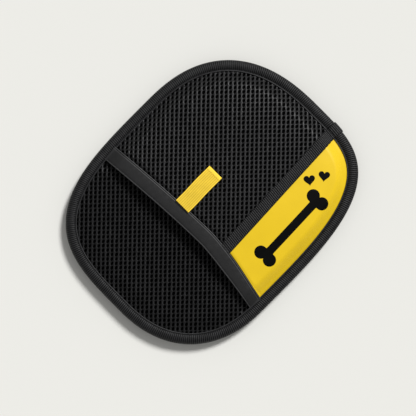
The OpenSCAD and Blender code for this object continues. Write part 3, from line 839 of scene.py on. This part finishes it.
def make_tab():
    """Ribbed webbing on the band's tip edge. Returns the height of its top at a distance along it."""
    s = np.concatenate([np.linspace(-1.1, 1.3, 33), np.linspace(1.5, TAB_L - 4, 60),
                        np.linspace(TAB_L - 3.6, TAB_L, 24)])
    y = HINGE_Y + s
    on_panel = mesh_z(np.full(s.shape, TAB_X), np.maximum(y, HINGE_Y + 4)) + 0.95
    tucked = HINGE_Z - TAB_TUCK
    rise = smooth((s + 0.95) / 0.4)
    mid = mix(tucked, on_panel, rise) + 0.3 * np.sin(np.clip(s / TAB_L, 0, 1) * np.pi)
    w = np.linspace(-1, 1, 121)
    rib = np.cos(w * np.pi * TAB_RIBS)
    border = np.abs(w) > SELVEDGE
    lift = np.where(border, 0.12, 0.08 * rib)
    hem = smooth((s - (TAB_L - HEM_L)) / 0.25)
    end_round = np.sqrt(np.clip(1 - ((s - TAB_L + 0.7) / 0.7).clip(0) ** 2, 0, 1))
    half = TAB_T / 2
    # Painted light: the raised selvedges and the tops of the ribs are painted lighter and the grooves between
    # them darker, as painted highlight and painted shade; the hem is evenly light and the underside is
    # painted darker as shade
    shade = np.where(border, 1.0, 0.3 + 0.3 * rib)
    weft = 0.02 * np.cos(s * 2 * np.pi / 0.55)
    edge = np.clip((1 - np.abs(w)) / 0.05, 0, 1) ** 0.5
    up = half * (0.45 + 0.55 * edge) + lift * (1 - 0.8 * hem[:, None]) + HEM_T * hem[:, None] + weft[:, None]
    top_z = mid[:, None] + up * end_round[:, None]
    low_z = mid[:, None] - (half * (0.45 + 0.55 * edge) + 0.5 * lift) * end_round[:, None]
    lean = math.radians(TAB_LEAN)
    bow = 0.12 * np.sin(s * 0.21)
    x = TAB_X + w * TAB_W / 2 - (s * math.sin(lean))[:, None] + bow[:, None]
    yy = np.broadcast_to(y[:, None], x.shape)
    top, low = np.stack([x, yy, top_z], -1), np.stack([x, yy, low_z], -1)
    painted_shading = mix(shade[None], 1.0, hem[:, None])
    painted_light = np.concatenate([painted_shading, painted_shading * 0.8], axis=1)[:, ::-1]
    tab = thick_sheet("pull_tab_webbing", top[:, ::-1], low[:, ::-1], WEBBING, attributes={"painted_light": painted_light})
    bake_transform(tab)
    settle(tab, "tab", ["pull_tab"])
    return lambda at: float(np.interp(at, s, top_z[:, len(w) // 2])) + 0.06


# ---------------------------------------------------------------- stitches
# Length and radius of a stitch
RIM_STITCH, PAD_STITCH, TAPE_STITCH = (3.0, 0.17), (2.9, 0.22), (2.4, 0.15)
BAND_STITCH, TAB_STITCH = (2.0, 0.1), (1.2, 0.09)
RIM_STITCH_IN, RIM_STITCH_Z = 7.75, 2.76  # in the groove beside the fold
PAD_STITCH_IN = 16.4


def stitch_row(name, middles, directions, ups, length, radius, material):
    """Sewn stitches: short threads that come up out of the cloth, lie on it and dive back."""
    sides, rings = 8, 9
    s = np.linspace(-1, 1, rings)
    sink = -radius * 2.2 * np.abs(s) ** 4
    thick = radius * np.sqrt(np.clip(1.12 - np.abs(s) ** 6, 0.05, 1))
    angle = np.linspace(0, 2 * np.pi, sides, endpoint=False)
    middles, directions, ups = (np.asarray(a, float) for a in (middles, directions, ups))
    directions /= np.linalg.norm(directions, axis=1, keepdims=True)
    across_it = np.cross(ups, directions)
    across_it /= np.linalg.norm(across_it, axis=1, keepdims=True)
    ups = np.cross(directions, across_it)
    line = (middles[:, None] + directions[:, None] * (s * length / 2)[None, :, None]
            + ups[:, None] * sink[None, :, None])
    ring = (across_it[:, None, None] * np.cos(angle)[None, None, :, None]
            + ups[:, None, None] * np.sin(angle)[None, None, :, None]) * thick[None, :, None, None]
    points = line[:, :, None] + ring
    base = grid_faces(rings, sides, False, True)[:, ::-1]
    caps = np.stack([np.arange(sides), (rings - 1) * sides + np.arange(sides)[::-1]])
    offset = (np.arange(len(middles)) * rings * sides)[:, None, None]
    faces = [(base[None] + offset).reshape(-1, 4), (caps[None] + offset).reshape(-1, sides)]
    return make(name, points, faces, material)


def make_stitches(tab_height):
    t, _, _ = perimeter(150)
    rows = []
    for sign in (1, -1):
        xy = inset(t, np.full(t.shape, RIM_STITCH_IN))
        rows.append(lifted(xy, np.full(t.shape, RIM_MID + sign * RIM_STITCH_Z)))
    middles = np.concatenate(rows)
    along = np.tile(lifted(outline(t + 0.5) - outline(t - 0.5), np.zeros(t.shape)), (2, 1))
    ups = np.repeat([[0, 0, 1.0], [0, 0, -1.0]], len(t), axis=0)
    rim = stitch_row("rim_stitch_row", middles, along, ups, *RIM_STITCH, THREAD)
    settle(rim, nodes=["rim_stitching"])

    t, _, _ = perimeter(130)
    xy = inset(t, np.full(t.shape, PAD_STITCH_IN))
    pad = stitch_row("pad_stitch_row", lifted(xy, np.full(t.shape, TIP_H - 0.12)),
                     lifted(outline(t + 0.5) - outline(t - 0.5), np.zeros(t.shape)),
                     np.tile([0, 0, -1.0], (len(t), 1)), *PAD_STITCH, THREAD)
    settle(pad, nodes=["pad_stitching"])

    y = np.linspace(float(band_tip_edge(SEAM_X)) + 3, 103, 38)
    middles = []
    for sign in (-1, 1):
        x = seam_at(y) + sign * (TAPE_W / 2 - 1.1)
        middles.append(np.stack([x, y, back_z(x, y) + TAPE_T + 0.18], -1))
    ahead = [np.gradient(m, axis=0) for m in middles]
    tape = stitch_row("seam_tape_stitch_rows", np.concatenate(middles), np.concatenate(ahead),
                      np.tile([0, 0, 1.0], (2 * len(y), 1)), *TAPE_STITCH, THREAD)
    settle(tape, "back", ["seam_tape_stitching"])

    s = np.linspace(0.012, 0.988, 56)
    rows = []
    for sign in (1, -1):
        x, _ = band_frame(s)
        half = band_half(x)
        rows.append(band_surface(s, sign * half - sign * 1.15, 2.5))
    ahead = [np.gradient(row, axis=0) for row in rows]
    band = stitch_row("band_stitch_rows", np.concatenate(rows), np.concatenate(ahead),
                      np.tile([0, 0, 1.0], (2 * len(s), 1)), *BAND_STITCH, BAND_THREAD)
    settle(band, "back", ["band_stitching"])

    x = TAB_X - 0.6 + np.linspace(-5.4, 5.4, 7)
    at = TAB_L - 2.4
    on_hem = np.broadcast_to((HINGE_Y + at, tab_height(at)), (len(x), 2))
    tab = stitch_row("tab_stitch_row", np.column_stack([x, on_hem]), np.tile([1.0, 0, 0], (len(x), 1)),
                     np.tile([0, 0, 1.0], (len(x), 1)), *TAB_STITCH, TAB_THREAD)
    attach(tab, "tab")
    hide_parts("tab_stitching")


# ---------------------------------------------------------------- palm side
def slab(d, low, high, rounding):
    """Points and faces of a flat layer with a rounded edge, cut to the outline less d."""
    t, _, _ = perimeter(480)
    edge = [(rounding * (1 - math.cos(a)), rounding * math.sin(a)) for a in np.linspace(0, math.pi / 2, 6)]
    middle = (low + high) / 2
    squash = (high - low) / 2 / rounding
    rings = []

    def ring(inner, z):
        rings.append(lifted(inset(t, np.full(t.shape, d + inner)), np.full(t.shape, z)))

    def inner_rings(z):
        for inner in (2.2, 3.0, 4.0, 4.8):
            ring(rounding + inner, z)
        start = inset(t, np.full(t.shape, d + rounding + 6))
        for share in np.linspace(0, 0.985, 16):
            rings.append(lifted(start * (1 - share), z))

    for inner, rise in edge:
        ring(inner, middle + rise * squash)
    inner_rings(high)
    top_count = len(rings)
    for inner, rise in edge[1:]:
        ring(inner, middle - rise * squash)
    inner_rings(low)
    points = np.array(rings)
    rows, cols = points.shape[:2]
    up = grid_faces(top_count, cols, False, True)[:, ::-1]
    down = grid_faces(rows - top_count, cols, False, True) + top_count * cols
    first = np.stack([np.arange(cols), (np.arange(cols) + 1) % cols], -1)
    join = np.concatenate([first, first[:, ::-1] + top_count * cols], axis=1)[:, ::-1]
    caps = [(top_count - 1) * cols + np.arange(cols)[None], (rows - 1) * cols + np.arange(cols)[None, ::-1]]
    return points.reshape(-1, 3), [up, down, join, *caps]


def pad_tips():
    """Where the rubber tips stand, in rows as on the CAD pad."""
    pitch, row = 10.0, 10.0 * math.sqrt(3) / 2
    j, i = np.meshgrid(np.arange(-14, 15), np.arange(-10, 11), indexing="ij")
    x = (i + np.where(j % 2 == 0, 0, 0.5)) * pitch
    y = j * row
    keep = (np.abs(x) < HALF_W) & (y < TIP_Y) & (y > HEEL_Y) & (edge_distance(x, y) > 20)
    return np.stack([x[keep], y[keep]], -1)


def make_palm():
    points, faces = slab(PAD_IN, TIP_H, PAD_TOP, 0.7)
    # A tip's radius and height: its foot flares into the pad, and its end is round
    profile = np.array([
        (2.75, TIP_H + 0.05), (2.3, TIP_H - 0.12), (2.02, TIP_H - 0.42), (1.86, TIP_H - 0.9), (1.62, 2.2),
        (1.42, 1.1), (1.3, 0.62), (1.08, 0.28), (0.72, 0.08), (0.3, 0.0)])
    sides = 18
    angle = np.linspace(0, 2 * np.pi, sides, endpoint=False)
    tip = np.stack([profile[:, :1] * np.cos(angle), profile[:, :1] * np.sin(angle),
                    np.repeat(profile[:, 1:], sides, 1)], -1)
    spots = pad_tips()
    tips = tip[None] + np.concatenate([spots, np.zeros((len(spots), 1))], 1)[:, None, None]
    base = grid_faces(len(profile), sides, False, True)
    caps = np.stack([np.arange(sides)[::-1], (len(profile) - 1) * sides + np.arange(sides)])[:, ::-1]
    offset = len(points) + (np.arange(len(spots)) * len(profile) * sides)[:, None, None]
    faces += [(base[None] + offset).reshape(-1, 4), (caps[None] + offset).reshape(-1, sides)]
    pad = make("rubber_tip_pad", np.concatenate([points, tips.reshape(-1, 3)]), faces, RUBBER)
    settle(pad, nodes=["grooming_pad"])

    points, faces = slab(EDGE_IN, PAD_TOP + 0.02, FABRIC_TOP, 0.28)
    fabric = make("palm_fabric_sheet", points, faces, PALM_WEAVE)
    settle(fabric, nodes=["palm_fabric"])

    points, faces = slab(FOAM_IN, FABRIC_TOP + 0.02, FOAM_TOP, 1.2)
    foam = make("palm_foam_sheet", points, faces, FOAM)
    settle(foam, nodes=["palm_foam"])


# ---------------------------------------------------------------- stage, light and camera
def make_stage():
    size, drop = 3000.0, 0.02  # half its width, and its depth under the tips
    corners = ((-1, -1), (1, -1), (1, 1), (-1, 1))
    points = np.array([(x * size, y * size, -drop) for x, y in corners])
    material = bpy.data.materials.new("pale_floor")
    material.use_nodes = True
    shader = material.node_tree.nodes["Principled BSDF"]
    shader.inputs["Base Color"].default_value = (0.80, 0.795, 0.755, 1)
    shader.inputs["Roughness"].default_value = 0.9
    shader.inputs["Specular IOR Level"].default_value = 0.1
    floor = make("floor", points, [np.array([[0, 1, 2, 3]])], material, shade=False)

    world = bpy.data.worlds.new("studio")
    world.use_nodes = True
    world.node_tree.nodes["Background"].inputs["Color"].default_value = (1, 1, 1, 1)
    world.node_tree.nodes["Background"].inputs["Strength"].default_value = 0.34
    bpy.context.scene.world = world
    data = bpy.data.lights.new("key", "SUN")
    data.energy = 3.09
    data.angle = math.radians(15)
    lamp = bpy.data.objects.new("key", data)
    bpy.context.scene.collection.objects.link(lamp)
    lamp.rotation_euler = (math.radians(-43), 0, math.radians(8))


def make_camera():
    """Straight above the mitt, turned so that the fingertips point up and to the right."""
    seen = 0.3333  # the width of the picture at the mitt, in metres
    height, middle_z = 1.4, 0.014  # metres above the mitt's middle, and that middle's own height
    data = bpy.data.cameras.new("camera")
    data.sensor_width = 36
    data.lens = 36 * height / seen
    data.clip_end = 20
    camera = bpy.data.objects.new("camera", data)
    bpy.context.scene.collection.objects.link(camera)
    camera.location = (0.0032, -0.0063, height + middle_z)
    camera.rotation_euler = (0, 0, math.radians(45))
    bpy.context.scene.camera = camera


make_camera()
make_stage()
bpy.context.scene.view_settings.view_transform = "Standard"
make_mesh_panels()
make_back_panels()
make_marks()
make_rim()
make_seam_tape()
make_band()
tab_height = make_tab()
make_stitches(tab_height)
make_palm()
